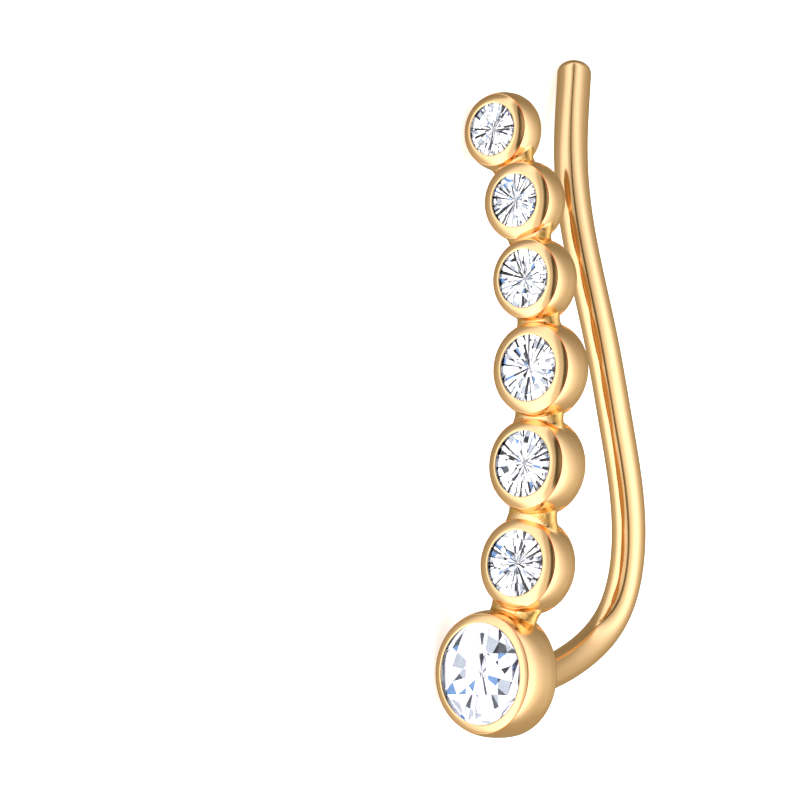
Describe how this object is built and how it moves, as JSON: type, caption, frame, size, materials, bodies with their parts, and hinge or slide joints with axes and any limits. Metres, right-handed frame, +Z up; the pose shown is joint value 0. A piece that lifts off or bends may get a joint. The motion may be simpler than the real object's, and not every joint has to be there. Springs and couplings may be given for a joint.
{
  "type": "ear climber earring",
  "caption": "Ear climber: a curved row of round bezel cups with faceted clear stones, growing towards the lobe, and a long hooked ear wire behind it.",
  "frame": {"origin": "middle of the footprint on the surface that the earring lies on: under the middle of its length and of its depth", "axes": "+X runs along the row from the free end of the wire and the smallest cups to the largest cup, -Y is the side that the stones face, +Z points up from the surface; the earring lies on the hollow side of its curve"},
  "size_m": [0.0202, 0.0074, 0.0048],
  "materials": {
    "gold_plated_silver": "polished warm yellow gold plating over cast sterling silver",
    "clear_crystal": "faceted and polished clear crystal with a foiled back"
  },
  "bodies": {
    "root": {"climber_frame": "gold_plated_silver", "stone_1": "clear_crystal", "stone_2": "clear_crystal", "stone_3": "clear_crystal", "stone_4": "clear_crystal", "stone_5": "clear_crystal", "stone_6": "clear_crystal", "stone_7": "clear_crystal"}
  },
  "joints": []
}
